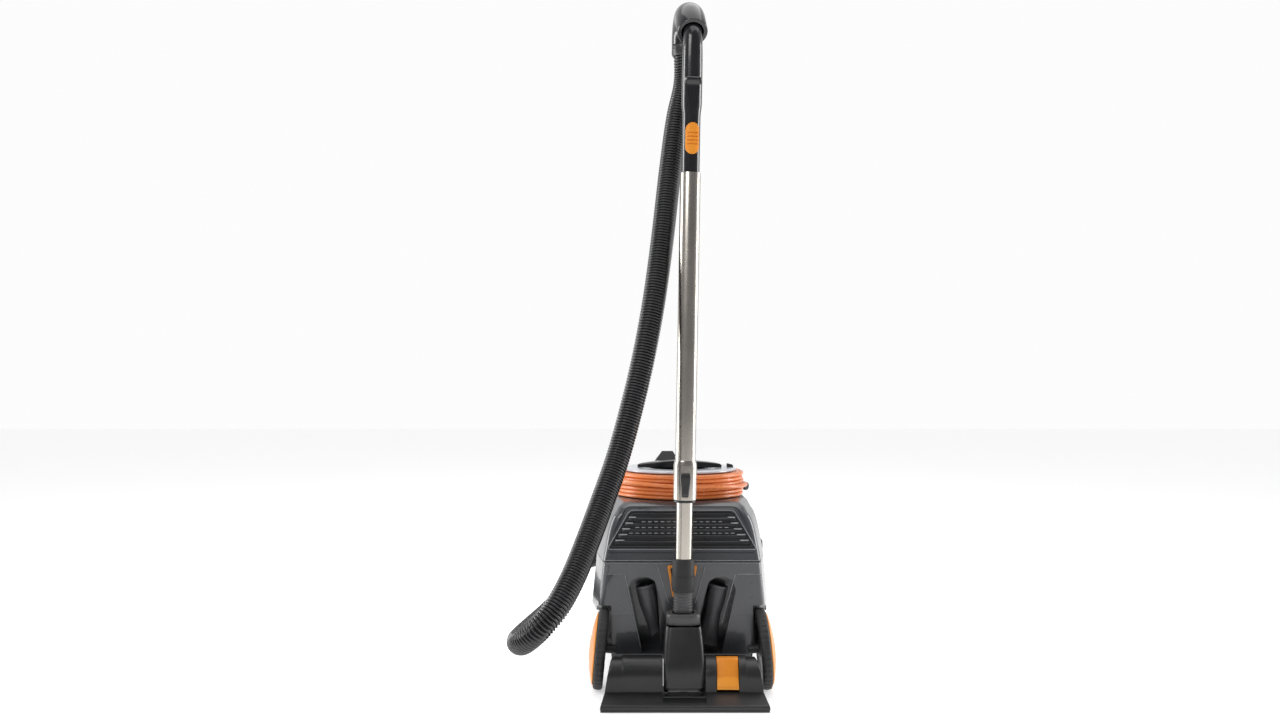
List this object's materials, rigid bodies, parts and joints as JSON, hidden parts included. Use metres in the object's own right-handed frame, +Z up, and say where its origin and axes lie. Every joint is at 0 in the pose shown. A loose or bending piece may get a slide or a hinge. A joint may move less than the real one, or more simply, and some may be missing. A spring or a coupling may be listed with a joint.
{
  "type": "canister vacuum cleaner",
  "caption": "Canister vacuum cleaner with hinged lid, wound cord, rear wheels, telescopic wand, floor tool, hose and stored nozzles.",
  "frame": {"origin": "on the floor, under the middle of the machine with its parked floor tool", "axes": "+Z up, -Y towards the rear where the wand is parked, +Y towards the hose inlet, +X to the right seen from the rear"},
  "size_m": [0.4456, 0.868, 1.1967],
  "materials": {
    "housing": "satin",
    "grille": "satin",
    "black_plastic": "satin",
    "accent": "satin",
    "cord": "satin",
    "steel": "satin",
    "hose": "satin",
    "rubber": "matte",
    "tyre": "matte",
    "bristle": "matte",
    "paper": "matte",
    "filter": "matte",
    "motor": "satin"
  },
  "bodies": {
    "root": {"lower_housing": "housing", "park_slot_frame": "accent", "dust_bag": "paper", "bag_collar": "paper", "premotor_filter": "filter", "hose_inlet": "black_plastic", "hose_elbow": "black_plastic", "hinge_pin": "steel", "axle_left": "steel", "axle_right": "steel", "neck_duct": "black_plastic", "neck_collar": "black_plastic", "neck_cover": "black_plastic", "swivel_sleeve": "black_plastic", "rubber_cuff": "rubber", "inner_tube": "steel", "park_hook": "black_plastic", "suction_hose": "hose"},
    "lid_body": {"lid": "housing", "exhaust_grille": "grille", "motor_deck": "grille", "motor_fan": "motor", "exhaust_filter": "filter", "switch_box": "black_plastic", "cord_drum": "housing", "top_cap": "housing", "carry_handle": "black_plastic", "power_cord_coil": "cord", "power_cord_lead": "cord", "cord_gland": "rubber", "power_plug": "black_plastic"},
    "switch_body": {"foot_switch": "black_plastic"},
    "latch_left_body": {"side_latch_left": "grille"},
    "latch_right_body": {"side_latch_right": "grille"},
    "wheel_left_body": {"tyre_left": "tyre", "wheel_hub_left": "black_plastic", "hub_cap_left": "accent"},
    "wheel_right_body": {"tyre_right": "tyre", "wheel_hub_right": "black_plastic", "hub_cap_right": "accent"},
    "castor_left_body": {"castor_fork_left": "black_plastic"},
    "castor_right_body": {"castor_fork_right": "black_plastic"},
    "castor_wheel_left_body": {"castor_wheel_left": "rubber"},
    "castor_wheel_right_body": {"castor_wheel_right": "rubber"},
    "crevice_body": {"crevice_nozzle": "black_plastic"},
    "upholstery_body": {"upholstery_nozzle": "black_plastic"},
    "tool_body": {"tool_housing": "black_plastic", "sole_plate": "black_plastic"},
    "pedal_body": {"tool_pedal": "accent"},
    "brush_body": {"brush_strip_front": "bristle", "brush_strip_rear": "bristle"},
    "wand_body": {"outer_tube": "steel", "tube_end_ring": "black_plastic", "telescope_collar": "steel", "handle_shell": "black_plastic", "handle_elbow": "black_plastic"},
    "wand_latch_body": {"latch_button": "black_plastic"},
    "air_slider_body": {"air_slider": "accent"},
    "handle_cuff_body": {"hose_cuff_handle": "black_plastic"},
    "machine_cuff_body": {"hose_cuff_machine": "black_plastic"}
  },
  "joints": [
    {"name": "lid_hinge", "type": "hinge", "parent": "root", "child": "lid_body", "pos_m": [0, 0.2855, 0.2215], "axis": [-1, 0, 0], "range_deg": [0, 70]},
    {"name": "foot_switch_press", "type": "hinge", "parent": "lid_body", "child": "switch_body", "pos_m": [-0.022, 0.0605, 0.3745], "axis": [-1, 0, 0], "range_deg": [0, 4], "stiffness_Nm_per_rad": 3},
    {"name": "side_latch_left_turn", "type": "hinge", "parent": "root", "child": "latch_left_body", "pos_m": [-0.157, 0.055, 0.1995], "axis": [0, -1, 0], "range_deg": [0, 70]},
    {"name": "side_latch_right_turn", "type": "hinge", "parent": "root", "child": "latch_right_body", "pos_m": [0.157, 0.055, 0.1995], "axis": [0, 1, 0], "range_deg": [0, 70]},
    {"name": "rear_wheel_left_roll", "type": "hinge", "parent": "root", "child": "wheel_left_body", "pos_m": [-0.1415, -0.14, 0.07], "axis": [-0.9962, 0, 0.0872], "continuous": true},
    {"name": "castor_left_swivel", "type": "hinge", "parent": "root", "child": "castor_left_body", "pos_m": [-0.09, 0.18, 0.03], "axis": [0, 0, 1], "continuous": true},
    {"name": "castor_wheel_left_roll", "type": "hinge", "parent": "castor_left_body", "child": "castor_wheel_left_body", "pos_m": [-0.09, 0.194, 0.02], "axis": [1, 0, 0], "continuous": true},
    {"name": "rear_wheel_right_roll", "type": "hinge", "parent": "root", "child": "wheel_right_body", "pos_m": [0.1415, -0.14, 0.07], "axis": [0.9962, 0, 0.0872], "continuous": true},
    {"name": "castor_right_swivel", "type": "hinge", "parent": "root", "child": "castor_right_body", "pos_m": [0.09, 0.18, 0.03], "axis": [0, 0, 1], "continuous": true},
    {"name": "castor_wheel_right_roll", "type": "hinge", "parent": "castor_right_body", "child": "castor_wheel_right_body", "pos_m": [0.09, 0.194, 0.02], "axis": [1, 0, 0], "continuous": true},
    {"name": "crevice_nozzle_pull", "type": "slide", "parent": "root", "child": "crevice_body", "axis": [-0.3006, -0.9418, 0.1503], "range_m": [0, 0.055]},
    {"name": "upholstery_nozzle_pull", "type": "slide", "parent": "root", "child": "upholstery_body", "axis": [0.3006, -0.9418, 0.1503], "range_m": [0, 0.055]},
    {"name": "floor_tool_pitch", "type": "hinge", "parent": "root", "child": "tool_body", "pos_m": [0, -0.215, 0.044], "axis": [1, 0, 0], "range_deg": [0, 50]},
    {"name": "pedal_rock", "type": "hinge", "parent": "tool_body", "child": "pedal_body", "pos_m": [0.0725, -0.226, 0.05], "axis": [-1, 0, 0], "range_deg": [0, 8]},
    {"name": "brush_lift", "type": "slide", "parent": "tool_body", "child": "brush_body", "axis": [0, 0, 1], "range_m": [0, 0.0041]},
    {"name": "wand_telescope", "type": "slide", "parent": "root", "child": "wand_body", "axis": [0.018, 0, 0.9998], "range_m": [-0.08, 0.3], "deforming": ["suction_hose"]},
    {"name": "wand_latch_slide", "type": "slide", "parent": "wand_body", "child": "wand_latch_body", "axis": [0.018, 0, 0.9998], "range_m": [0, 0.006], "stiffness_N_per_m": 120},
    {"name": "air_slider_slide", "type": "slide", "parent": "wand_body", "child": "air_slider_body", "axis": [0.018, 0, 0.9998], "range_m": [-0.008, 0.008]},
    {"name": "handle_cuff_swivel", "type": "hinge", "parent": "wand_body", "child": "handle_cuff_body", "pos_m": [0.00692, -0.09453, 1.132], "axis": [-0.018, 0, -0.9998], "continuous": true},
    {"name": "machine_cuff_swivel", "type": "hinge", "parent": "root", "child": "machine_cuff_body", "pos_m": [0.00365, 0.35565, 0.15], "axis": [-0.866, 0.5, 0], "continuous": true}
  ],
  "couplings": [
    {"joint": "brush_lift", "follows": "pedal_rock", "m_per_rad": 0.02865}
  ]
}
